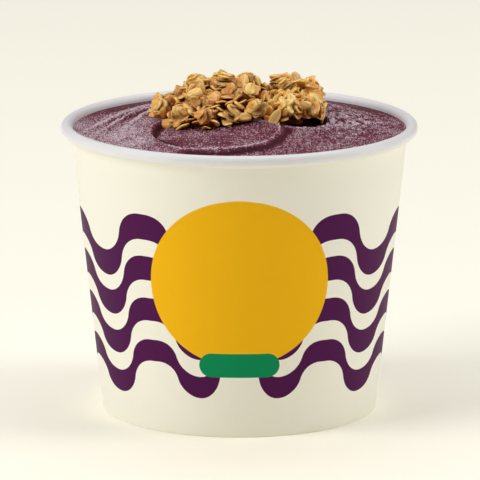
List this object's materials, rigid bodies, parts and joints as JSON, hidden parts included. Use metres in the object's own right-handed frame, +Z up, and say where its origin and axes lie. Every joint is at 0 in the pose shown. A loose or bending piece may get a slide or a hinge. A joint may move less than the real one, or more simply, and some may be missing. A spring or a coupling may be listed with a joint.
{
  "type": "acai bowl",
  "caption": "Tapered round paper tub with a rolled rim, filled above the rim with spoon-marked frozen acai puree and topped with a heap of oat granola clusters.",
  "frame": {"origin": "middle of the tub's foot, on the surface it stands on", "axes": "+Z up through the tub's axis, -Y towards the printed front, +X to the right of the front"},
  "size_m": [0.09, 0.09, 0.0865],
  "materials": {
    "printed_paperboard": "cream coated paperboard with purple wavy bands, a yellow disc and a green pill, soft satin",
    "plain_paperboard": "white coated paperboard, matt",
    "acai_puree": "frozen dark purple puree with pink frost on its raised marks",
    "oat_granola": "toasted golden oat flakes, slightly glazed"
  },
  "bodies": {
    "root": {"cup_wall": "printed_paperboard", "cup_base": "plain_paperboard", "acai": "acai_puree", "granola": "oat_granola"}
  },
  "joints": []
}
